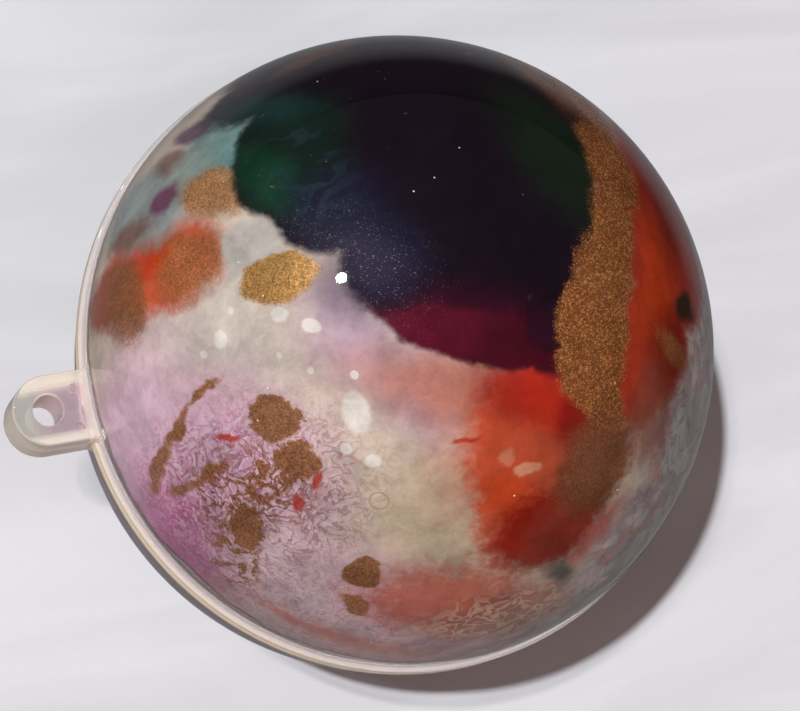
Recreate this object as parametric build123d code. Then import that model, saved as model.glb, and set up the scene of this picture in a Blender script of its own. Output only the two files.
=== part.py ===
from build123d import *
import math
import os

# Fillable hanging ball ornament: two clear moulded shells, each lined with a thin film of dried ink.
#
# Frame, millimetres: the origin is the middle of the hanging eye, on the seam plane between the two shells.
# +Z runs along the eye and parallel to the ball's pole axis. +X runs from the eye to the middle of the ball.
# The lower shell carries a lip that slips inside the rim of the upper shell, which lifts off along +Z.

# Driving sizes, millimetres
ball_radius = 40.0  # outside of each dome
wall = 1.5  # thickness of each dome
band_height = 2.0  # straight stretch of each shell between the seam and the dome
flange_height = 1.3  # each shell's half of the rim that runs round the seam
flange_proud = 0.6  # how far that rim stands out from the ball

lip_height = 1.6  # lip of the lower shell, above the seam
lip_thickness = 0.7
lip_clearance = 0.08  # between the lip and the upper shell, on the radius
lip_head_room = 0.2  # above the lip when the ball is closed

eye_stand_off = 5.7  # from the ball to the middle of the hanging eye
eye_radius = 1.9
tab_half_width = 4.4
tab_half_thickness = 4.0  # each shell carries half of the tab
tab_root_radius = 1.6  # where the sides of the tab meet the ball

peg_radius = 0.6  # locating peg on each half tab, and its socket in the other
peg_height = 1.2
peg_clearance = 0.07  # on the radius
peg_head_room = 0.3
peg_setback = 3.9  # from the middle of the eye towards the ball
peg_offset = 2.4  # from the middle line of the tab

edge_round = 0.35  # outer edges of the tab and of the eye
flange_round = 0.25  # outer edge of the rim
seam_chamfer = 0.12  # parting line
lip_lead = 0.2  # lead-in chamfer of the lip

film_thickness = 0.25  # dried ink
film_gap = 0.05  # between the ink and the shell that it lines
film_margin = 0.3  # bare wall between the top of the lip and the edge of each film

# Sizes worked out from these
eye_distance = ball_radius + eye_stand_off
inner_radius = ball_radius - wall
lip_outer_radius = inner_radius + lip_thickness
rebate_radius = lip_outer_radius + lip_clearance
rebate_height = lip_height + lip_head_room
flange_radius = ball_radius + flange_proud
film_outer_radius = inner_radius - film_gap
film_start = lip_height + lip_head_room + film_margin
tab_base = max(tab_half_thickness - band_height, 0.0)
tab_root_disc = math.sqrt(ball_radius**2 - tab_base**2) - 0.2 * wall
ball_centre = (eye_distance, 0.0)


def revolved(outline):
    """Solid of revolution about the pole axis of the ball, from a closed outline of (radius, height)."""
    axis = Axis((eye_distance, 0, 0), (0, 0, 1))
    return revolve(Location((eye_distance, 0, 0)) * outline, axis)


def dome_outline(radius, base, start):
    """Quarter of a disc above a straight stretch: everything within the radius, from the start height up."""
    with BuildSketch(Plane.XZ) as sketch:
        with BuildLine():
            Line((0, start), (radius, start))
            Line((radius, start), (radius, base))
            CenterArc((0, base), radius, 0, 90)
            Line((0, base + radius), (0, start))
        make_face()
    return sketch.sketch


def cap_outline(radius, base, start):
    """Part of the dome's disc that lies above the start height, which is on the dome itself."""
    rise = start - base
    reach = math.sqrt(radius**2 - rise**2)
    angle = math.degrees(math.asin(rise / radius))
    with BuildSketch(Plane.XZ) as sketch:
        with BuildLine():
            Line((0, start), (reach, start))
            CenterArc((0, base), radius, angle, 90 - angle)
            Line((0, base + radius), (0, start))
        make_face()
    return sketch.sketch


def ring(outer, inner, low, high):
    """Plain ring about the pole axis, between two heights."""
    height = high - low
    place = Location((eye_distance, 0, low + height / 2))
    return place * (Cylinder(outer, height) - Cylinder(inner, height * 2))


def tab_blank():
    """Half of the hanging tab, above the seam: a round-ended block that runs into the wall of the ball."""
    root = eye_distance - tab_root_disc + wall / 2
    plan = Location((root / 2, 0)) * Rectangle(root, 2 * tab_half_width) + Circle(tab_half_width)
    block = extrude(plan, tab_half_thickness)
    top = block.faces().sort_by(Axis.Z)[-1]
    buried = top.edges().sort_by(Axis.X)[-1]
    return fillet([edge for edge in top.edges() if not edge.is_same(buried)], edge_round)


def tab_flares():
    """Round flares between the sides of the tab and the ball, a little lower than the tab's face."""
    disc = Location((*ball_centre, 0)) * Circle(tab_root_disc)
    strip_length = eye_distance - tab_root_disc / 2
    strip = Location((strip_length / 2, 0)) * Rectangle(strip_length, 2 * tab_half_width)
    plan = disc + strip
    corners = [
        vertex
        for vertex in plan.vertices()
        if abs(abs(vertex.Y) - tab_half_width) < 1e-4 and vertex.X > tab_half_width / 2
    ]
    plan = fillet(corners, tab_root_radius)
    reach = tab_half_width + 2 * tab_root_radius
    low = tab_half_width / 2
    high = eye_distance - math.sqrt(tab_root_disc**2 - reach**2)
    window = Location(((low + high) / 2, 0)) * Rectangle(high - low, 2 * reach)
    plan = (plan & window) - Location((*ball_centre, 0)) * Circle(tab_root_disc - wall / 2)
    return extrude(plan, tab_half_thickness - edge_round)


def rounded_rim(solid, radius, height, amount):
    """Round the circular edges of one radius at one height."""
    edges = [
        edge
        for edge in solid.edges().filter_by(GeomType.CIRCLE)
        if abs(edge.radius - radius) < 1e-3 and abs(edge.center().Z - height) < 1e-3
    ]
    return fillet(edges, amount) if edges else solid


def blank_shell():
    """One shell above the seam plane, before its lip or rebate, pegs and eye."""
    body = revolved(dome_outline(ball_radius, band_height, 0))
    body += ring(flange_radius, inner_radius - wall, 0, flange_height)
    body = rounded_rim(body, flange_radius, flange_height, flange_round)
    body += tab_blank()
    body += tab_flares()
    body -= revolved(dome_outline(inner_radius, band_height, -wall))
    body -= Cylinder(eye_radius, 4 * tab_half_thickness)
    body = rounded_rim(body, eye_radius, tab_half_thickness, edge_round)
    return body


def locating(body, side):
    """Peg on one side of the tab's middle line and a socket on the other, in the seam face of a shell."""
    peg_sink = 0.5 * peg_height
    peg_length = peg_height + peg_sink
    peg_middle = peg_sink - peg_length / 2
    peg = Location((peg_setback, side * peg_offset, peg_middle)) * Cylinder(peg_radius, peg_length)
    peg = chamfer(peg.edges().group_by(Axis.Z)[0], 0.3 * peg_radius)
    depth = peg_height + peg_head_room
    socket = Location((peg_setback, -side * peg_offset, 0)) * Cylinder(peg_radius + peg_clearance, 2 * depth)
    return (body - socket) + peg


def seam_broken(body):
    """Chamfer the outer edge of the rim at the seam, which shows as the parting line."""
    edges = [
        edge
        for edge in body.edges().filter_by(GeomType.CIRCLE)
        if abs(edge.radius - flange_radius) < 1e-3 and abs(edge.center().Z) < 1e-3
    ]
    return chamfer(edges, seam_chamfer)


def upper_shell():
    """Shell with the rebate that takes the lip."""
    body = seam_broken(blank_shell())
    body -= ring(rebate_radius, inner_radius - wall, -wall, rebate_height)
    return locating(body, -1)


def lower_shell():
    """The same shell turned over about +X, with the lip standing above its seam."""
    body = locating(seam_broken(blank_shell()), -1)
    body = body.rotate(Axis.X, 180)
    lip = ring(lip_outer_radius, inner_radius, -band_height / 2, lip_height)
    lip = chamfer(lip.edges().group_by(Axis.Z)[-1].sort_by(SortBy.RADIUS)[-1:], lip_lead)
    return body + lip


def ink_film(turned):
    """Thin cap that lines one dome and ends short of the seam."""
    outer = revolved(cap_outline(film_outer_radius, band_height, film_start))
    inner = revolved(dome_outline(film_outer_radius - film_thickness, band_height, -wall))
    film = outer - inner
    return film.rotate(Axis.X, 180) if turned else film


def build():
    """Write one STEP file for each sub-part."""
    os.makedirs("parts", exist_ok=True)
    parts = {
        "upper_shell": upper_shell(),
        "lower_shell": lower_shell(),
        "upper_ink_film": ink_film(turned=False),
        "lower_ink_film": ink_film(turned=True),
    }
    for node, shape in parts.items():
        shape.label = node
        export_step(shape, f"parts/{node}.step")
        print(node, round(shape.volume), "mm3, valid", shape.is_valid)


build()
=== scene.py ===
"""Looks of the painted ball ornament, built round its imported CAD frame.

All lengths are metres in the frame of the part: the origin is the middle of the hanging eye, +Z is the
pole axis of the ball and +X runs from the eye to the middle of the ball. Places on the paint are given as
a longitude, in degrees from +X towards +Y, and a latitude, in degrees from the rim of the dome to its pole.
"""

import math

import bpy
from mathutils import Matrix, Vector, noise


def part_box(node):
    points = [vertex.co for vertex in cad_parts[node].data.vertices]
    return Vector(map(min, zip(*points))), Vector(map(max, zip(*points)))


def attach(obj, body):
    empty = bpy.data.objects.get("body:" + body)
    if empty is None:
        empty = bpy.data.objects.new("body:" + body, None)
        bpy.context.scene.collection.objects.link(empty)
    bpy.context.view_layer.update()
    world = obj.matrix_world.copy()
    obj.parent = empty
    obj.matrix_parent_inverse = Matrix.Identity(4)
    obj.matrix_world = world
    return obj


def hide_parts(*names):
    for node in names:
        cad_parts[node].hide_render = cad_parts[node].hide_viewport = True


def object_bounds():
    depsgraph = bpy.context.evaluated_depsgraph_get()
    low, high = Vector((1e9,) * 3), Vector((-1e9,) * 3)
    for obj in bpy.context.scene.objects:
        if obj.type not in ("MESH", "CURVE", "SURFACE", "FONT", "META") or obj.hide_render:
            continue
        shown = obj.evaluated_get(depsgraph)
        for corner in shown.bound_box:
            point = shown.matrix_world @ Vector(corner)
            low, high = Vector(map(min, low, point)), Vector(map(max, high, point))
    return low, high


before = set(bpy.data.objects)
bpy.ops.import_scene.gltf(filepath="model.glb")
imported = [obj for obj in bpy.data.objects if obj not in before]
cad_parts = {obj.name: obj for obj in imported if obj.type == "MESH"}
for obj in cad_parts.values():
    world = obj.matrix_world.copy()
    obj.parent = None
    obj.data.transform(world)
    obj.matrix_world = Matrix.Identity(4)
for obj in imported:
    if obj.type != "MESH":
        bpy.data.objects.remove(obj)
cad_low, cad_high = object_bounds()

MM = 0.001
BAND = 2.0 * MM  # straight stretch of each shell between the seam and its dome
FILM_THICKNESS = 0.16 * MM

shell_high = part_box("upper_shell")[1]
film_low, film_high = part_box("upper_ink_film")
BALL_RADIUS = shell_high.z - BAND
BALL_CENTRE = Vector(((film_low.x + film_high.x) / 2, 0, 0))
INK_BITE = 0.07 * MM  # the ink wets the plastic, so it crosses the gap round the CAD film into the wall
FILM_RADIUS = film_high.z - BAND + INK_BITE
FILM_EDGE = film_low.z - BAND  # height of the film's edge above the base of its dome


# ---------------------------------------------------------------- colours


def shade(code):
    """Linear colour from a six-digit sRGB code."""
    channels = [int(code[i : i + 2], 16) / 255 for i in (0, 2, 4)]
    linear = [c / 12.92 if c <= 0.04045 else ((c + 0.055) / 1.055) ** 2.4 for c in channels]
    return (*linear, 1.0)


# ---------------------------------------------------------------- node helpers


class Nodes:
    """Short ways to add shader nodes to one material."""

    def __init__(self, name):
        self.material = bpy.data.materials.new(name)
        self.material.use_nodes = True
        self.tree = self.material.node_tree
        self.tree.nodes.clear()

    def add(self, kind, inputs=None, **settings):
        node = self.tree.nodes.new("ShaderNode" + kind)
        for key, value in settings.items():
            setattr(node, key, value)
        for key, value in (inputs or {}).items():
            self.feed(node.inputs[key], value)
        return node

    def feed(self, socket, value):
        if isinstance(value, bpy.types.NodeSocket):
            self.tree.links.new(value, socket)
        else:
            socket.default_value = value

    def math(self, operation, *values):
        return self.add("Math", dict(enumerate(values)), operation=operation).outputs[0]

    def vector(self, operation, *values):
        node = self.add("VectorMath", dict(enumerate(values)), operation=operation)
        return node.outputs["Value" if operation in ("LENGTH", "DOT_PRODUCT") else "Vector"]

    def noise(self, place, scale, detail=2.0, roughness=0.5, distortion=0.0):
        values = {
            "Vector": place,
            "Scale": scale,
            "Detail": detail,
            "Roughness": roughness,
            "Distortion": distortion,
        }
        return self.add("TexNoise", values)

    def ramp(self, value, low, high, to_low=0.0, to_high=1.0):
        """Smooth step of a value from to_low at low up to to_high at high."""
        values = {"Value": value, "From Min": low, "From Max": high, "To Min": to_low, "To Max": to_high}
        return self.add("MapRange", values, interpolation_type="SMOOTHSTEP", clamp=False).outputs["Result"]

    def mix(self, factor, first, second):
        node = self.add("Mix", data_type="RGBA")
        for name, value in (("Factor_Float", factor), ("A_Color", first), ("B_Color", second)):
            self.feed(next(s for s in node.inputs if s.identifier == name), value)
        return next(s for s in node.outputs if s.identifier == "Result_Color")


# ---------------------------------------------------------------- ink painting

FRAY_SCALE = 34.0  # of the noise that roughens the edges of shapes
GRAIN_SCALE = 170.0  # of the noise that breaks pigment into grains
FLAKE_SCALE = 230.0  # of the cells that make single flakes of pigment lighter or darker
MASK_DEPTH = 0.7  # depth of each oval's mask along the line out of the ball, in ball radii


class Ink(Nodes):
    """One film of dried ink: soft washes, crisp pools, veins and metallic pigment, laid over one another."""

    def __init__(self, name, side, base):
        super().__init__(name)
        centre = (BALL_CENTRE.x, 0, side * BAND)
        place = self.add("TexCoord").outputs["Object"]
        offset = self.vector("SUBTRACT", place, centre)
        facing = self.vector("MULTIPLY", offset, (1, 1, side))
        self.dome = self.vector("NORMALIZE", facing)
        self.warps = {
            "flow": self.warped(scale=4.0, amount=0.10, detail=4.0),
            "ragged": self.warped(scale=9.0, amount=0.09, detail=5.0),
            "plain": self.dome,
        }
        self.fray = self.noise(self.dome, FRAY_SCALE, 4.0, 0.65).outputs["Fac"]
        self.grain = self.noise(self.dome, GRAIN_SCALE, 2.0, 0.7).outputs["Fac"]
        cells = self.add("TexVoronoi", {"Vector": self.dome, "Scale": FLAKE_SCALE, "Randomness": 1.0})
        self.sparkle = self.add("SeparateColor", {"Color": cells.outputs["Color"]}).outputs[0]
        self.colour = base
        self.metal = 0.0
        self.cover = 1.0

    def warped(self, scale, amount, detail):
        """The dome's direction, pushed about by noise, so that shapes get natural edges."""
        push = self.noise(self.dome, scale, detail, 0.55).outputs["Color"]
        centred = self.vector("SUBTRACT", push, (0.5, 0.5, 0.5))
        scaled = self.vector("SCALE", centred)
        scaled.node.inputs["Scale"].default_value = amount
        return self.vector("ADD", self.dome, scaled)

    def blob(self, lon, lat, along, across, spin=0.0, soft=0.25, warp="flow", fray=0.25, grain=0.0):
        """Mask of an oval, its half lengths in degrees of arc.

        Its long side is turned spin degrees north of east.
        """
        east_by = math.radians(lon)
        north_by = math.radians(lat)
        turned_by = math.radians(spin)
        flat = math.cos(north_by)
        out = Vector((flat * math.cos(east_by), flat * math.sin(east_by), math.sin(north_by)))
        east = Vector((-math.sin(east_by), math.cos(east_by), 0))
        north = out.cross(east)
        major = east * math.cos(turned_by) + north * math.sin(turned_by)
        turn = Matrix((major, out.cross(major), out)).transposed()
        reach = 1 + soft + (fray + grain) / 2
        size = Vector((math.sin(math.radians(along)), math.sin(math.radians(across)), MASK_DEPTH)) * reach
        values = {"Vector": self.warps[warp], "Location": out, "Rotation": turn.to_euler(), "Scale": size}
        local = self.add("Mapping", values, vector_type="TEXTURE").outputs["Vector"]
        nearness = self.add("TexGradient", {"Vector": local}, gradient_type="SPHERICAL").outputs["Fac"]
        for texture, amount in ((self.fray, fray), (self.grain, grain)):
            if amount:
                nearness = self.math("MULTIPLY_ADD", texture, -amount / reach, nearness)
        return self.ramp(nearness, 0.0, 2 * soft / reach)

    def trail(self, points, **style):
        """Mask of a stroke through points of (longitude, latitude, half width)."""
        mask = None
        for (lon_a, lat_a, wide_a), (lon_b, lat_b, wide_b) in zip(points, points[1:]):
            east = (lon_b - lon_a) * math.cos(math.radians((lat_a + lat_b) / 2))
            north = lat_b - lat_a
            wide = (wide_a + wide_b) / 2
            half = math.hypot(east, north) / 2 + wide * 0.6
            middle = ((lon_a + lon_b) / 2, (lat_a + lat_b) / 2)
            piece = self.blob(*middle, half, wide, math.degrees(math.atan2(north, east)), **style)
            mask = piece if mask is None else self.math("MAXIMUM", mask, piece)
        return mask

    def union(self, *masks):
        total = masks[0]
        for mask in masks[1:]:
            total = self.math("MAXIMUM", total, mask)
        return total

    def both(self, first, second):
        return self.math("MULTIPLY", first, second)

    def wash(self, code, mask, strength=1.0, cover=None):
        """Lay one colour over what is there. It hides any pigment under it, and can thin the film."""
        share = self.math("MULTIPLY", mask, strength) if strength != 1.0 else mask
        self.colour = self.mix(share, self.colour, shade(code))
        kept = self.math("SUBTRACT", 1.0, share)
        self.metal = self.math("MULTIPLY", self.metal, kept)
        if cover is not None:
            change = self.math("SUBTRACT", cover, self.cover)
            self.cover = self.math("MULTIPLY_ADD", change, share, self.cover)

    def pigment(self, code, mask, strength=1.0):
        """Lay metallic pigment: grains of uneven brightness with bare specks between them."""
        gaps = self.ramp(self.grain, 0.28, 0.40, 0.6 * strength, strength)
        share = self.both(mask, gaps)
        plain = Vector(shade(code))
        tint = self.mix(self.sparkle, plain * 0.6, plain * 1.6)
        self.colour = self.mix(share, self.colour, tint)
        self.metal = self.math("MAXIMUM", self.metal, share)
        self.cover = self.math("MAXIMUM", self.cover, share)

    def veins(self, scale, width, warp="ragged", detail=2.0):
        """Mask of thin wandering lines."""
        level = self.noise(self.warps[warp], scale, detail, 0.5, 0.6).outputs["Fac"]
        away = self.math("ABSOLUTE", self.math("SUBTRACT", level, 0.5))
        return self.ramp(away, width, width * 0.35)

    def finish(self):
        """Join the layers into one surface."""
        ripple = self.noise(self.warps["flow"], 14.0, 4.0, 0.6).outputs["Fac"]
        blotch = self.noise(self.warps["ragged"], 7.0, 9.0, 0.72).outputs["Fac"]
        depth = self.ramp(blotch, 0.25, 0.75, 0.72, 1.28)
        mottled = self.add("HueSaturation", {"Value": depth, "Color": self.colour}).outputs[0]
        height = self.math("MULTIPLY_ADD", self.sparkle, 0.3, ripple)
        strength = self.math("MULTIPLY_ADD", self.metal, 0.6, 0.1)
        bump = self.add("Bump", {"Strength": strength, "Distance": 0.15 * MM, "Height": height})
        rough = self.math("MULTIPLY_ADD", self.metal, -0.12, 0.42)
        values = {
            "Base Color": mottled,
            "Metallic": self.math("MULTIPLY", self.metal, 0.4),
            "Roughness": rough,
            "Alpha": self.cover,
            "Specular IOR Level": 0.15,
            "Normal": bump.outputs["Normal"],
        }
        surface = self.add("BsdfPrincipled", values)
        self.add("OutputMaterial", {"Surface": surface.outputs[0]})
        return self.material


def clouds(ink):
    """White and cream clouds."""
    ink.wash("cfc4bc", ink.blob(180, 40, 18, 14, soft=0.7), 0.8)
    ink.wash("c4b096", ink.blob(246, 45, 13, 14, soft=0.7), 0.8)


def lavender_field(ink):
    """Lavender and pink towards the eye, reticulated with paler and redder lines."""
    lavender = ink.union(
        ink.blob(206, 29, 24, 20, 60, soft=0.35),
        ink.blob(234, 24, 20, 15, soft=0.45),
        ink.blob(196, 8, 24, 15, -60, soft=0.4),
        ink.blob(250, 10, 26, 9, soft=0.5),
    )
    ink.wash("ceacb4", lavender, 0.9)
    ink.wash("f0cce0", ink.blob(194, 9, 22, 12, -55, soft=0.8), 0.9)
    ink.wash("c0609a", ink.blob(209, 10, 14, 11, -47, soft=0.7), 0.85)
    ink.wash("c08fae", ink.blob(203, 34, 12, 12, soft=0.8), 0.6)
    crackle = ink.blob(211, 31, 24, 16, 70, soft=0.45)
    ink.wash("e0d0d6", ink.both(crackle, ink.veins(30, 0.07)), 0.5)
    ink.wash("8a3c50", ink.both(crackle, ink.veins(25, 0.05)), 0.6)
    ink.wash("dcd2d2", ink.both(ink.blob(234, 20, 20, 13, soft=0.45), ink.veins(34, 0.07)), 0.4)
    ink.wash("95607c", ink.both(ink.blob(236, 15, 24, 12, soft=0.45), ink.veins(21, 0.04)), 0.4)


def purple_fringe(ink):
    """Soft purple fringe round the foot of the dark pool."""
    ink.wash("b695ae", ink.trail([(178, 62, 6), (215, 69, 8), (248, 67, 7)], soft=0.8), 0.75)
    ink.wash("75607f", ink.blob(170, 67, 7, 5, 60, soft=0.8), 0.7)


def orange_red(ink):
    """Salmon into orange red beside the cream."""
    ink.wash("c27a64", ink.blob(248, 70, 17, 6, soft=0.7), 0.85)
    ink.wash("c68468", ink.blob(257, 58, 7, 10, soft=0.8, fray=0.9), 0.6)
    ink.wash("c24e2e", ink.blob(275, 59, 14, 11, 88, soft=0.3, fray=0.6), 0.97)
    ink.wash("a4241a", ink.blob(289, 68, 12, 6, -30, soft=0.5), 0.9)
    ink.wash("b52c1c", ink.blob(296, 65, 10, 6, -60, soft=0.4), 0.85)
    ink.wash("8c1812", ink.blob(296, 60, 5, 4, 28, soft=0.5), 0.9)
    ink.wash("c4451e", ink.blob(268, 47, 6, 9, soft=0.4, fray=0.9), 0.85)
    ink.wash("901f0e", ink.blob(280, 42, 11, 9, -11, soft=0.3, fray=0.6), 0.95)


def salmon_wisps(ink):
    """Salmon wisps towards the rim, with beige lace over them."""
    ink.wash("c2604c", ink.blob(258, 28, 15, 9, 4, soft=0.5, warp="ragged", fray=1.2), 0.85)
    ink.wash("d08a78", ink.blob(247, 10, 18, 3, -6, soft=0.6, warp="ragged", fray=0.9), 0.6)
    ink.wash("bf4e42", ink.blob(243, 10, 13, 1.6, -4, soft=0.6, warp="ragged", fray=0.8), 0.8)
    ink.wash("c86a5c", ink.blob(294, 34, 8, 4, 28, soft=0.6, warp="ragged", fray=0.9), 0.85)
    lace = ink.blob(274, 21, 15, 8, -2, soft=0.4, warp="ragged")
    ink.wash("a85850", lace, 0.6)
    ink.wash("d8b8a0", ink.both(lace, ink.veins(19, 0.08)), 0.9)
    ink.wash("4c5450", ink.blob(283, 30, 4.8, 2.4, -66, soft=0.6, warp="ragged"), 0.8)


def pale_wisps(ink):
    """Pale, thin wisps towards the rim."""
    pale = ink.union(
        ink.blob(308, 22, 20, 15, 10, soft=0.25, warp="ragged"),
        ink.blob(332, 30, 22, 15, soft=0.3, warp="ragged"),
        ink.blob(286, 8, 18, 6, soft=0.5, warp="ragged"),
    )
    ink.wash("ece0e0", pale, 0.95, cover=0.8)
    ink.wash("b87c78", ink.both(pale, ink.veins(5, 0.10, "flow")), 0.7)
    ink.wash("a8b4b6", ink.both(pale, ink.veins(4, 0.12)), 0.5)
    ink.wash("6d5c62", ink.both(pale, ink.veins(9, 0.02, "flow")), 0.35)


def copper_orange(ink):
    """Orange dusted with copper."""
    ink.wash("c85632", ink.blob(159, 28, 9, 15, 0, soft=0.25, warp="ragged", fray=0.5), 0.97)
    ink.wash("cc3c12", ink.blob(157, 21, 11, 5, -86, soft=0.4), 0.9)
    ink.wash("9c4018", ink.blob(163, 12, 6, 10, 0, soft=0.3, warp="ragged", fray=0.5), 0.95)
    ink.pigment("b8774e", ink.blob(161, 36, 7.5, 6, 89, soft=0.35, warp="ragged", grain=0.6), 0.8)
    ink.pigment("9c5e30", ink.blob(165, 18, 6, 8.5, -58, soft=0.3, warp="ragged", grain=0.7), 0.9)
    ink.pigment("96562c", ink.blob(154, 26, 7, 2.5, 88, soft=0.5, warp="ragged", grain=0.9), 0.6)


def mint_patches(ink):
    """Mint, purple and brown patches, with copper among them."""
    ink.wash("96a3a2", ink.blob(146, 19, 9, 14, 0, soft=0.3, warp="ragged"), 0.95)
    ink.wash("7a4a3a", ink.blob(137, 20, 3, 5, 0, soft=0.4, warp="ragged"), 0.8)
    ink.wash("8a5a40", ink.blob(141, 31, 4, 5, 0, soft=0.6, warp="ragged", fray=0.8), 0.8)
    ink.wash("7c4634", ink.blob(152, 16, 3, 7, 10, soft=0.5, warp="ragged", fray=0.8), 0.8)
    ink.wash("7f9f9c", ink.blob(130, 33, 11, 8, -67, soft=0.25, warp="ragged", fray=0.5), 0.97)
    ink.wash("5b8584", ink.blob(134, 40, 6, 4, 86, soft=0.6, warp="ragged"), 0.7)
    ink.wash("8f9a94", ink.blob(139, 27, 5, 5, 0, soft=0.5, warp="ragged"), 0.8)
    ink.wash("75395c", ink.blob(145, 24, 3.2, 3.6, 33, soft=0.35, warp="ragged"), 0.95)
    ink.wash("5a2a52", ink.blob(129, 20, 6, 3.2, -82, soft=0.35, warp="ragged"), 0.9)
    ink.pigment("c08a5a", ink.blob(143, 37, 7.5, 5, 85, soft=0.25, warp="ragged", grain=0.7, fray=0.6), 0.9)


def burgundy_band(ink):
    """Burgundy band that shows along the foot of the dark pool."""
    burgundy = ink.union(
        ink.blob(225, 83, 17.5, 8.6, 12, soft=0.08, fray=0.12),
        ink.blob(312, 74, 7, 7, soft=0.15, fray=0.12),
    )
    ink.wash("501024", burgundy)
    ink.wash("5e0f28", ink.both(burgundy, ink.blob(205, 77, 9, 7, soft=0.6)), 0.7)
    ink.wash("3c0814", ink.both(burgundy, ink.blob(300, 76, 9, 6, soft=0.7)), 0.7)


def dark_pool(ink):
    """Great dark pool round the pole, with green and indigo in it."""
    dark = ink.union(
        ink.blob(79, 73, 25, 22.5, 8, soft=0.07, fray=0.1),
        ink.blob(96, 50, 26, 27, -5, soft=0.07, fray=0.1),
        ink.blob(127, 48, 15, 12, 40, soft=0.1, fray=0.2),
        ink.blob(117, 27, 11, 9, -50, soft=0.2, fray=0.3),
        ink.blob(158, 75, 10, 8, -83, soft=0.15, fray=0.2),
        ink.blob(144, 58, 9, 7, 60, soft=0.15, fray=0.2),
        ink.blob(150, 66.5, 5.5, 3.5, 70, soft=0.15, fray=0.2),
        ink.blob(37, 54, 7, 4, -55, soft=0.15, fray=0.2),
        ink.blob(56, 44, 17, 14, -35, soft=0.1, fray=0.1),
        ink.blob(330, 76, 8, 6, soft=0.1, fray=0.1),
        ink.blob(84, 20, 34, 16, soft=0.1, fray=0.1),
    )
    ink.wash("180d1a", dark)
    ink.wash("3c0c20", ink.both(dark, ink.blob(235, 79, 17, 8, 20, soft=0.6)), 0.85)
    ink.wash("12261e", ink.both(dark, ink.blob(128, 45, 14, 11, 40, soft=0.5)), 0.95)
    ink.wash("14402e", ink.both(dark, ink.blob(137, 46, 9, 4, 70, soft=0.7, warp="ragged", fray=0.8)), 0.8)
    ink.wash("1c3a38", ink.both(dark, ink.blob(121, 33, 9, 4, -70, soft=0.7, warp="ragged", fray=0.8)), 0.8)
    ink.wash("152616", ink.both(dark, ink.blob(44, 58, 15, 9, -35, soft=0.6)), 0.9)
    ink.wash("1c1b36", ink.both(dark, ink.blob(146, 66, 13, 8, 60, soft=0.6)), 0.9)
    ink.wash("302a40", ink.both(dark, ink.blob(157, 68, 8, 4, 70, soft=0.8, fray=0.8)), 0.7)
    swirl = ink.both(dark, ink.blob(133, 52, 15, 7, 60, soft=0.6))
    ink.wash("2a3a44", ink.both(swirl, ink.veins(7, 0.04, "flow")), 0.45)
    ink.pigment("b89058", ink.both(ink.blob(119, 46, 17, 13, soft=0.5), ink.ramp(ink.fray, 0.68, 0.71)), 0.8)
    ink.wash("5c3426", ink.blob(101, 24, 8, 3, 8, soft=0.5, warp="ragged", fray=0.7), 0.8)


def far_red(ink):
    """Red beyond the ribbon, dark towards the rim, with a green spot."""
    red = ink.union(
        ink.blob(6, 46, 17, 17, -24, soft=0.15),
        ink.blob(22, 35, 16, 12, -44, soft=0.25),
        ink.blob(338, 52, 12, 10, 22, soft=0.2),
        ink.blob(325, 56, 10, 9, 22, soft=0.25),
    )
    ink.wash("a82a12", red, 0.97)
    ink.wash("bb3e14", ink.both(red, ink.blob(353, 53, 14, 5, -20, soft=0.7)), 0.8)
    ink.wash("70180c", ink.both(red, ink.blob(25, 34, 18, 7, -44, soft=0.6)), 0.8)
    ink.wash("6e1608", ink.both(red, ink.blob(336, 48, 7, 6, soft=0.6, fray=0.6)), 0.7)
    ink.wash("1c2a18", ink.blob(349, 43, 2.8, 3.6, 0, soft=0.4, warp="ragged", fray=0.4), 0.9)
    ink.pigment("8c5c40", ink.blob(52, 33, 12, 7, -50, soft=0.4, warp="ragged", grain=0.9), 0.8)


def copper_ribbon(ink):
    """Copper ribbon, the brown pool at its foot and a trail beside it."""
    ribbon = ink.union(
        ink.blob(43, 34, 12, 4.6, -54, soft=0.2, warp="ragged", grain=0.8),
        ink.blob(31, 49, 11, 6, -50, soft=0.2, warp="ragged", grain=1.2),
        ink.blob(14, 60, 10, 5.2, -40, soft=0.2, warp="ragged", grain=1.0),
        ink.blob(355, 66, 9, 6, -20, soft=0.15, warp="ragged", grain=0.7),
        ink.blob(331, 68, 8.5, 8, 9, soft=0.1, warp="ragged", grain=0.4),
        ink.blob(314, 65, 8, 7, 49, soft=0.12, warp="ragged", grain=0.6),
        ink.blob(308, 58, 6, 4, 66, soft=0.3, warp="ragged", grain=1.0),
    )
    ink.pigment("a26236", ribbon)
    gaps = ink.both(ink.blob(29, 52, 22, 8, -48, soft=0.6), ink.ramp(ink.grain, 0.42, 0.36))
    ink.wash("4a1a12", ink.both(ribbon, gaps), 0.8)
    ink.pigment("c69058", ink.both(ribbon, ink.ramp(ink.sparkle, 0.74, 0.78)), 0.6)
    ink.pigment("a4683c", ink.blob(337, 46, 2.2, 6, -13, soft=0.5, warp="ragged", grain=1.2), 0.8)
    ink.wash("7e3c26", ink.blob(297, 49, 9, 7.5, 26, soft=0.3, warp="ragged", fray=0.8), 0.9)
    ink.pigment("8c5a3c", ink.blob(297, 50, 9, 8, 26, soft=0.4, warp="ragged", grain=1.2), 0.6)


def ribbon_foot(ink):
    """Brown haze beside the ribbon's foot and a pale streak near the rim."""
    ink.wash("8c4c3c", ink.blob(319, 46, 9, 6, 40, soft=0.5, warp="ragged", fray=0.9), 0.8)
    ink.wash("e6c0b4", ink.blob(252, 8, 16, 3, -8, soft=0.7, warp="ragged", fray=0.9), 0.6)


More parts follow.
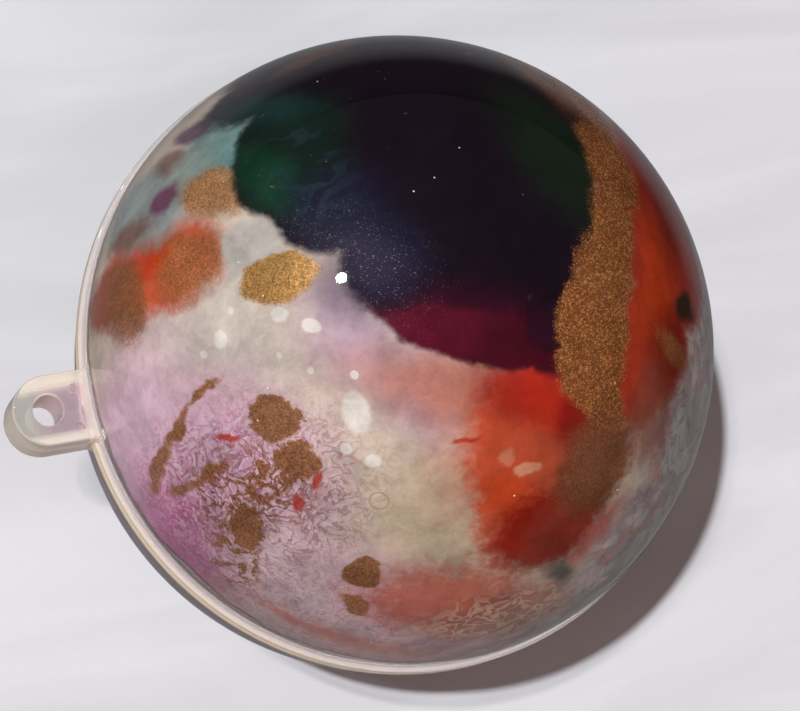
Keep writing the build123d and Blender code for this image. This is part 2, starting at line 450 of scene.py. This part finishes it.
def gold_patch(ink):
    """White and gold patches beside the dark pool."""
    ink.wash("bcb6b0", ink.blob(157, 48, 5.5, 6, 0, soft=0.2, warp="ragged", fray=0.4), 0.97)
    ink.pigment("b88a50", ink.blob(166, 54, 7.4, 4.2, -81, soft=0.12, warp="ragged", grain=0.4))


def painted_glint_specks(ink):
    """Pale specks over the edge of the dark pool: fine scratches, drawn pale only by the glint, as a painted
    highlight where its light catches them.
    """
    specks = ink.both(ink.blob(160, 67, 13, 8, 65, soft=0.9), ink.ramp(ink.grain, 0.64, 0.69))
    ink.wash("b4a6b4", specks, 0.75)


def copper_runs(ink):
    """Copper drops and runs in the lavender."""
    branches = ink.veins(11, 0.075)
    runs = ink.union(
        ink.blob(202, 46, 4.9, 4.0, 58, soft=0.08, warp="ragged", fray=0.8),
        ink.blob(213, 44, 4.0, 3.6, 50, soft=0.1, warp="ragged", fray=1.2),
        ink.both(ink.blob(211, 36, 8.5, 3.4, 69, soft=0.2, warp="ragged", fray=2.2), branches),
        ink.blob(216, 26, 5.2, 3.6, -52, soft=0.12, warp="ragged", fray=2.2),
        ink.both(ink.blob(218, 19, 9.5, 5.0, -62, soft=0.3, warp="ragged", fray=2.4), branches),
        ink.trail(
            [(187, 40, 0.7), (190, 31, 0.9), (194, 23, 1.4), (199, 12, 1.6)],
            soft=0.4,
            warp="ragged",
            fray=0.8,
        ),
        ink.trail([(203, 33, 0.8), (203, 22, 1.2), (202, 17, 1.2)], soft=0.4, warp="ragged", fray=1.2),
        ink.blob(240, 32, 3.2, 3.6, 16, soft=0.1, warp="ragged", fray=0.4),
        ink.blob(242, 23, 2.4, 3.0, 3, soft=0.2, warp="ragged", fray=0.7),
    )
    ink.pigment("a06c44", runs, 0.95)
    ink.pigment("9c6448", ink.both(ink.blob(210, 32, 14, 8, 70, soft=0.5), ink.veins(16, 0.05)), 0.9)
    flecks = (
        (220, 44, 2.0, 0.9, -59),
        (220, 38, 2.0, 1.2, -80),
        (199, 36, 3.2, 0.5, 60),
        (253, 62, 2.4, 0.5, 30),
    )
    for fleck in flecks:
        ink.wash("b03420", ink.blob(*fleck, soft=0.4, warp="ragged", fray=0.6), 0.9)


def white_drops(ink):
    """White drops, a clear ring and two drops in the orange."""
    drops = (
        (215, 58, 3.6, 2.4, -30),
        (177, 54, 1.6, 1.3, 77),
        (183, 59, 1.8, 1.2, 56),
        (179, 42, 1.6, 1.4, 0),
        (173, 45, 0.7, 0.6, 0),
        (181, 38, 0.8, 0.6, 73),
        (220, 52, 1.1, 1.0, 0),
        (228, 53, 1.4, 1.2, 33),
        (205, 62, 0.8, 0.7, 0),
        (188, 52, 0.6, 0.5, 0),
        (196, 56, 0.6, 0.6, 0),
    )
    for drop in drops:
        ink.wash("e2ddd6", ink.blob(*drop, soft=0.2, warp="plain", fray=0.3), 0.85)
    halo = ink.blob(235, 47, 1.8, 1.7, soft=0.12, warp="plain")
    hole = ink.blob(235, 47, 1.5, 1.4, soft=0.12, warp="plain")
    ink.wash("a08c78", ink.math("SUBTRACT", halo, ink.both(halo, hole)), 0.7)
    ink.wash("d89a78", ink.blob(275, 56, 2.3, 1.2, 0, soft=0.3, warp="ragged", fray=0.6), 0.85)
    ink.wash("d08c6c", ink.blob(268, 59, 1.3, 1.9, 0, soft=0.4, warp="ragged", fray=0.8), 0.6)


UPPER_LAYERS = (
    clouds,
    lavender_field,
    purple_fringe,
    orange_red,
    salmon_wisps,
    pale_wisps,
    copper_orange,
    mint_patches,
    burgundy_band,
    dark_pool,
    far_red,
    copper_ribbon,
    ribbon_foot,
    gold_patch,
    painted_glint_specks,
    copper_runs,
    white_drops,
)


def upper_ink():
    """The half that faces up: dark plum round the pole, a copper ribbon, orange reds, cream and lavender."""
    ink = Ink("upper_ink", 1, shade("d0bfae"))
    for layer in UPPER_LAYERS:
        layer(ink)
    return ink.finish()


def lower_ink():
    """The half underneath: the same inks poured the other way round."""
    ink = Ink("lower_ink", -1, shade("c9beb0"))
    ink.wash("b898ac", ink.blob(200, 25, 50, 30, soft=0.4), 0.85)
    ink.wash("a55a85", ink.blob(225, 35, 22, 14, 30, soft=0.6), 0.7)
    ink.wash("8c3f52", ink.both(ink.blob(205, 30, 30, 20, soft=0.4), ink.veins(20, 0.04)), 0.7)
    ink.wash("cf5428", ink.blob(300, 45, 26, 20, 20, soft=0.4), 0.9)
    ink.wash("8a1a0c", ink.blob(318, 52, 14, 9, 20, soft=0.5), 0.85)
    ink.wash("6f8f90", ink.blob(100, 28, 22, 12, soft=0.35, warp="ragged"), 0.9)
    ink.wash("a9c2bb", ink.blob(92, 24, 12, 6, soft=0.5, warp="ragged"), 0.8)
    dark = ink.union(
        ink.blob(60, 60, 30, 22, 30, soft=0.08),
        ink.blob(30, 38, 22, 16, soft=0.08),
        ink.blob(150, 76, 20, 12, soft=0.1),
    )
    ink.wash("150a1c", dark)
    ink.wash("123c30", ink.both(dark, ink.blob(75, 55, 16, 12, soft=0.5)), 0.85)
    ink.wash("16163a", ink.both(dark, ink.blob(35, 45, 16, 10, soft=0.5)), 0.85)
    ink.wash("5a0a34", ink.both(dark, ink.blob(150, 74, 18, 9, soft=0.5)), 0.9)
    ribbon = ink.trail([(140, 30, 5), (125, 48, 6), (110, 66, 6)], soft=0.12, warp="ragged", grain=0.5)
    ink.pigment("9c5a2c", ribbon)
    ink.pigment("b88c48", ink.blob(255, 55, 9, 5, 40, soft=0.15, warp="ragged", grain=0.5))
    run = ink.trail([(190, 50, 3), (205, 40, 4), (214, 26, 3)], soft=0.3, warp="ragged", fray=0.9)
    ink.pigment("9a6434", run, 0.9)
    pale = ink.union(ink.blob(262, 20, 26, 14, soft=0.4), ink.blob(345, 18, 26, 13, soft=0.4))
    ink.wash("b9b6b6", pale, 0.9, cover=0.72)
    ink.wash("a8706e", ink.both(pale, ink.veins(6, 0.08, "flow")), 0.6)
    drops = (
        (180, 52, 3.0, 2.0, 40),
        (170, 44, 1.4, 1.2, 0),
        (236, 48, 1.6, 1.4, 0),
        (160, 58, 1.2, 1.0, 0),
    )
    for drop in drops:
        ink.wash("e6e2da", ink.blob(*drop, soft=0.2, warp="plain", fray=0.3), 0.85)
    return ink.finish()


# ---------------------------------------------------------------- clear plastic

PLASTIC_IOR = 1.45
CLEAR_TINT = (0.97, 0.975, 0.97, 1)
PAINTED_PINK_LIGHT_TINT = (0.98, 0.86, 0.91, 1)  # of the tab: painted pink light, where it carries the pink of the paint
SHADOW_TINT = (0.93, 0.935, 0.94, 1)
SUNNY_SIDE = (-0.9, -0.43, 0)  # painted rim light is brightest on this side, where the rim gathers the most light


def surface_marks(shell, place):
    """Roughness, dust mask and normal of a polished surface with faint scratches and specks of dust."""
    values = {"Vector": place, "Rotation": (0.3, 0.5, 0.9), "Scale": (900, 60, 250)}
    stretch = shell.add("Mapping", values).outputs[0]
    scratch = shell.ramp(shell.noise(stretch, 1.0, 1.0).outputs["Fac"], 0.70, 0.76)
    haze = shell.noise(place, 60.0, 3.0).outputs["Fac"]
    rough = shell.math("MULTIPLY_ADD", scratch, 0.1, shell.ramp(haze, 0.3, 0.8, 0.015, 0.05))
    cells = shell.add("TexVoronoi", {"Vector": place, "Scale": 700.0})
    pick = shell.add("SeparateColor", {"Color": cells.outputs["Color"]}).outputs[0]
    specks = shell.ramp(cells.outputs["Distance"], 0.1, 0.05)
    dust = shell.math("MULTIPLY", specks, shell.ramp(pick, 0.95, 0.96))
    bump = shell.add("Bump", {"Strength": 0.05, "Distance": 0.02 * MM, "Height": scratch})
    return rough, dust, bump.outputs["Normal"]


def tab_masks(shell, place):
    """Masks of the tab's painted pink light in its middle and of the painted highlights along its two sides.
    """
    along = shell.add("SeparateXYZ", {0: place}).outputs["X"]
    painted_pink_light = shell.ramp(along, 6 * MM, 4 * MM)
    painted_pink_light = shell.math("MULTIPLY", painted_pink_light, shell.ramp(along, -2.5 * MM, 1.5 * MM))
    flank = shell.math("ABSOLUTE", shell.add("SeparateXYZ", {0: place}).outputs["Y"])
    painted_pink_light = shell.math("MULTIPLY", painted_pink_light, shell.ramp(flank, 3.3 * MM, 2.6 * MM))
    before_ball = shell.ramp(along, 5 * MM, 4 * MM)
    # painted highlights: pale frost along the tab's two sides, short of the ball
    painted_highlight_strips = shell.math("MULTIPLY", before_ball, shell.ramp(flank, 2.6 * MM, 3.3 * MM, 0.0, 0.4))
    return painted_pink_light, painted_highlight_strips


def painted_edge_light(shell, place, painted_pink_light, painted_highlight_strips):
    """Strength and colour of the painted light on the rim, the tab and the band: pale frost that stands in
    for the light that the plastic carries to them.
    """
    away = shell.vector("MULTIPLY", shell.vector("SUBTRACT", place, tuple(BALL_CENTRE)), (1, 1, 0))
    distance = shell.vector("LENGTH", away)
    outside = shell.ramp(distance, BALL_RADIUS + 0.1 * MM, BALL_RADIUS + 0.4 * MM)
    facing = shell.vector("DOT_PRODUCT", shell.add("NewGeometry").outputs["Normal"], (0, 0, 1))
    # painted light: upright walls of the rim and tab are frosted paler than flat faces
    painted_wall_light = shell.ramp(shell.math("ABSOLUTE", facing), 0.9, 0.3, 0.1, 0.6)
    painted_wall_light = shell.math("MAXIMUM", painted_wall_light, painted_highlight_strips)
    # painted rim light, brightest on the side of the rim that faces the sun
    sunny = shell.vector("DOT_PRODUCT", shell.vector("NORMALIZE", away), SUNNY_SIDE)
    near = shell.ramp(distance, BALL_RADIUS + 1.1 * MM, BALL_RADIUS + 0.7 * MM, 0.0, 0.45)
    rim = shell.math("MULTIPLY", near, shell.ramp(sunny, 0.3, 0.95))
    # painted light in the bare band by the seam, inside the ball's outline
    height = shell.math("ABSOLUTE", shell.add("SeparateXYZ", {0: place}).outputs["Z"])
    band = shell.ramp(height, BAND + 0.6 * MM, BAND - 0.4 * MM, 0.0, 0.4)
    inside = shell.math("MULTIPLY", band, shell.math("SUBTRACT", 1.0, outside))
    # colours of the painted light: cream, pink in the tab's middle, and mauve in the band
    cream = shell.mix(painted_pink_light, shade("ffecce"), shade("f4cfd8"))
    painted_glow = shell.mix(outside, shade("d6bcc8"), cream)
    edge = shell.math("MULTIPLY_ADD", outside, shell.math("ADD", painted_wall_light, rim), inside)
    return edge, painted_glow


def clear_plastic():
    """Clear moulded polystyrene, frosted a little where its edges gather light; that frost is painted light,
    pale and brightest on the sunny side.
    """
    shell = Nodes("clear_plastic")
    place = shell.add("TexCoord").outputs["Object"]
    rough, dust, normal = surface_marks(shell, place)
    painted_pink_light, painted_highlight_strips = tab_masks(shell, place)
    # painted pink light: the tab's middle is tinted pink where light carries the pink of the paint through it
    clear = shell.mix(painted_pink_light, CLEAR_TINT, PAINTED_PINK_LIGHT_TINT)
    # painted light at the edges: pale frost mixed into the base colour in place of clear plastic
    edge, painted_glow = painted_edge_light(shell, place, painted_pink_light, painted_highlight_strips)
    clearness = shell.math("MULTIPLY", shell.math("SUBTRACT", 1.0, dust), shell.math("SUBTRACT", 1.0, edge))
    values = {
        "Base Color": shell.mix(edge, clear, painted_glow),
        "Roughness": rough,
        "IOR": PLASTIC_IOR,
        "Transmission Weight": clearness,
        "Normal": normal,
    }
    solid = shell.add("BsdfPrincipled", values).outputs[0]
    passing = shell.add("BsdfTransparent", {"Color": SHADOW_TINT}).outputs[0]
    is_shadow = shell.add("LightPath").outputs["Is Shadow Ray"]
    surface = shell.add("MixShader", {0: is_shadow, 1: solid, 2: passing}).outputs[0]
    shell.add("OutputMaterial", {"Surface": surface})
    return shell.material


# ---------------------------------------------------------------- ink film meshes

FILM_RINGS = 64
FILM_SEGMENTS = 256
EDGE_WANDER = 2.2 * MM  # how far the edge of the ink wanders above the film's lowest line


def film_edge(turn, side):
    """Height of the ink's edge above the base of its dome, some way round the pole."""
    wander = noise.noise(Vector((3 * math.cos(turn), 3 * math.sin(turn), 7 * side)))
    wander += 0.4 * noise.noise(Vector((14 * math.cos(turn), 14 * math.sin(turn), 3 * side)))
    return FILM_EDGE + EDGE_WANDER * min(max(0.5 + 0.7 * wander, 0), 1)


def film_point(radius, ring, step, side):
    """Place of one point of a skin of the film."""
    turn = 2 * math.pi * step / FILM_SEGMENTS
    low = math.asin(film_edge(turn, side) / radius)
    lat = low + (math.pi / 2 - low) * ring / FILM_RINGS
    flat = radius * math.cos(lat)
    up = side * (BAND + radius * math.sin(lat))
    return BALL_CENTRE + Vector((flat * math.cos(turn), flat * math.sin(turn), up))


def film_index(skin, ring, step):
    """Number of one point: skin 0 is the outer one and skin 1 the inner one."""
    return (skin * FILM_RINGS + ring) * FILM_SEGMENTS + step % FILM_SEGMENTS


def film_faces():
    """Faces of both skins, of the edge between them and of the fan round each pole."""
    at = film_index
    faces = []
    for step in range(FILM_SEGMENTS):
        after = step + 1
        for ring in range(FILM_RINGS - 1):
            above = ring + 1
            faces.append([at(0, ring, step), at(0, ring, after), at(0, above, after), at(0, above, step)])
            faces.append([at(1, ring, step), at(1, above, step), at(1, above, after), at(1, ring, after)])
        faces.append([at(0, 0, step), at(1, 0, step), at(1, 0, after), at(0, 0, after)])
    last = FILM_RINGS - 1
    for skin in (0, 1):
        pole = 2 * FILM_RINGS * FILM_SEGMENTS + skin
        for step in range(FILM_SEGMENTS):
            fan = [at(skin, last, step), at(skin, last, step + 1), pole]
            faces.append(fan if skin == 0 else fan[::-1])
    return faces


def film_piece(name, side, material):
    """Thin cap of ink inside one dome, with an uneven edge, joined from an outer and an inner skin."""
    radii = (FILM_RADIUS, FILM_RADIUS - FILM_THICKNESS)
    points = [
        film_point(radius, ring, step, side)
        for radius in radii
        for ring in range(FILM_RINGS)
        for step in range(FILM_SEGMENTS)
    ]
    points += [BALL_CENTRE + Vector((0, 0, side * (BAND + radius))) for radius in radii]
    faces = film_faces()
    if side < 0:
        faces = [face[::-1] for face in faces]
    mesh = bpy.data.meshes.new(name)
    mesh.from_pydata(points, [], faces)
    mesh.shade_smooth()
    mesh.materials.append(material)
    piece = bpy.data.objects.new(name, mesh)
    bpy.context.scene.collection.objects.link(piece)
    return piece


# ---------------------------------------------------------------- object

plastic = clear_plastic()
for node in ("upper_shell", "lower_shell"):
    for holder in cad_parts[node].material_slots:
        holder.material = plastic

for half, side, paint in (("upper", 1, upper_ink()), ("lower", -1, lower_ink())):
    film = film_piece(half + "_painted_film", side, paint)
    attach(film, half + "_half")
    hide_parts(half + "_ink_film")

# ---------------------------------------------------------------- stage, light and camera

FLOOR_HALF_SIDE = 4.0
POLE_TILT = math.radians(20)  # between the pole axis and the line of sight
POLE_LEAN = math.radians(40)  # side of the view that the pole leans to, up from the right
TAB_TURN = math.radians(-28.6)  # from the nearest point of the seam round to the tab
VIEW_DISTANCE = 10 * BALL_RADIUS
FOCAL_LENGTH = 142.0


def part_axes_in_view():
    """The part's axes as the camera sees them, with x to the right, y up and z towards the camera."""
    tilt, lean = POLE_TILT, POLE_LEAN
    pole = Vector((math.sin(tilt) * math.cos(lean), math.sin(tilt) * math.sin(lean), math.cos(tilt)))
    near = Vector((-math.cos(tilt) * math.cos(lean), -math.cos(tilt) * math.sin(lean), math.sin(tilt)))
    tab = near * math.cos(TAB_TURN) + pole.cross(near) * math.sin(TAB_TURN)
    return -tab, pole.cross(-tab), pole


VIEW = Matrix(part_axes_in_view())  # turns a direction in the view into one in the part's frame
UPPER_CENTRE = BALL_CENTRE + Vector((0, 0, BAND))


def camera():
    """Long lens that looks down on the upper half, with the tab to the left."""
    data = bpy.data.cameras.new("camera")
    data.lens = FOCAL_LENGTH
    data.shift_x = 0.004
    data.shift_y = -0.004
    data.clip_start = 0.01
    data.clip_end = 20
    eye = bpy.data.objects.new("camera", data)
    eye.matrix_world = Matrix.Translation(UPPER_CENTRE + VIEW @ Vector((0, 0, VIEW_DISTANCE))) @ VIEW.to_4x4()
    bpy.context.scene.collection.objects.link(eye)
    bpy.context.scene.camera = eye


def lamp(name, direction, distance, size, power, colour, reflected):
    """Round lamp that shines on the ball from a direction given in the camera's view.

    It either lights the scene without being mirrored in the ball, or is only seen mirrored.
    """
    data = bpy.data.lights.new(name, "AREA")
    data.shape = "DISK"
    data.size = size
    data.energy = power
    data.color = colour
    light = bpy.data.objects.new(name, data)
    away = (VIEW @ Vector(direction)).normalized()
    light.location = BALL_CENTRE + away * distance
    light.rotation_mode = "QUATERNION"
    light.rotation_quaternion = away.to_track_quat("Z", "Y")
    light.visible_glossy = reflected
    light.visible_transmission = False
    light.visible_diffuse = not reflected
    bpy.context.scene.collection.objects.link(light)


def floor():
    """Pale cloth under the ball, with painted fold shade. As painted shade, it grows dark far off, and in
    mirror reflections.
    """
    mesh = bpy.data.meshes.new("floor")
    signs = ((-1, -1), (1, -1), (1, 1), (-1, 1))
    corners = [(x * FLOOR_HALF_SIDE, y * FLOOR_HALF_SIDE, cad_low.z) for x, y in signs]
    mesh.from_pydata(corners, [], [(0, 1, 2, 3)])
    fabric = Nodes("floor")
    place = fabric.add("TexCoord").outputs["Object"]
    weave = fabric.noise(place, 700.0, 2.0).outputs["Fac"]
    bump = fabric.add("Bump", {"Strength": 0.15, "Distance": 0.3 * MM, "Height": weave})
    reach = fabric.vector("LENGTH", fabric.vector("SUBTRACT", place, tuple(BALL_CENTRE)))
    drawn_out = {"Vector": place, "Rotation": (0, 0, 0.5), "Scale": (9, 45, 1)}
    stretched = fabric.add("Mapping", drawn_out).outputs[0]
    # painted fold shade: long streaks where the cloth is lighter or darker, as over soft creases
    painted_fold_shade = fabric.ramp(fabric.noise(stretched, 1.0, 3.0, 0.55, 0.8).outputs["Fac"], 0.35, 0.65)
    white = fabric.mix(painted_fold_shade, (0.73, 0.74, 0.78, 1), (0.82, 0.83, 0.87, 1))
    # painted shade: from 0.12 m to 0.2 m from the ball the cloth fades to nearly black
    cloth = fabric.mix(fabric.ramp(reach, 0.12, 0.2), white, (0.10, 0.09, 0.08, 1))
    # painted reflection shade: the cloth is darker where the ball mirrors it
    mirrored = fabric.add("LightPath").outputs["Is Glossy Ray"]
    cloth_and_painted_shade = fabric.mix(mirrored, cloth, fabric.mix(0.7, cloth, (0, 0, 0, 1)))
    values = {"Base Color": cloth_and_painted_shade, "Roughness": 0.9, "Normal": bump.outputs["Normal"]}
    surface = fabric.add("BsdfPrincipled", values)
    fabric.add("OutputMaterial", {"Surface": surface.outputs[0]})
    mesh.materials.append(fabric.material)
    plane = bpy.data.objects.new("floor", mesh)
    bpy.context.scene.collection.objects.link(plane)


def sky():
    """Dim, warm room light that is brighter low down."""
    world = bpy.data.worlds.new("studio")
    bpy.context.scene.world = world
    world.use_nodes = True
    tree = world.node_tree
    place = tree.nodes.new("ShaderNodeTexCoord")
    split = tree.nodes.new("ShaderNodeSeparateXYZ")
    ramp = tree.nodes.new("ShaderNodeMapRange")
    limits = {"From Min": 0.0, "From Max": 0.7, "To Min": 0.06, "To Max": 0.05}
    for name, value in limits.items():
        ramp.inputs[name].default_value = value
    tree.links.new(place.outputs["Generated"], split.inputs[0])
    tree.links.new(split.outputs["Z"], ramp.inputs[0])
    background = tree.nodes["Background"]
    background.inputs["Color"].default_value = (1.0, 0.85, 0.80, 1)
    tree.links.new(ramp.outputs[0], background.inputs["Strength"])


camera()
floor()
sky()
lamp(
    "sun",
    direction=(-0.135, 0.191, 0.972),
    distance=3.0,
    size=0.07,
    power=80.0,
    colour=(1, 1, 1),
    reflected=False,
)
lamp(
    "fill",
    direction=(0.25, -0.5, 0.83),
    distance=1.2,
    size=1.6,
    power=3.2,
    colour=(1, 0.72, 0.68),
    reflected=False,
)
lamp(
    "glint",
    direction=(-0.315, 0.424, 0.848),
    distance=1.2,
    size=0.08,
    power=2.0,
    colour=(1, 1, 1),
    reflected=True,
)
bpy.context.scene.view_settings.view_transform = "Standard"
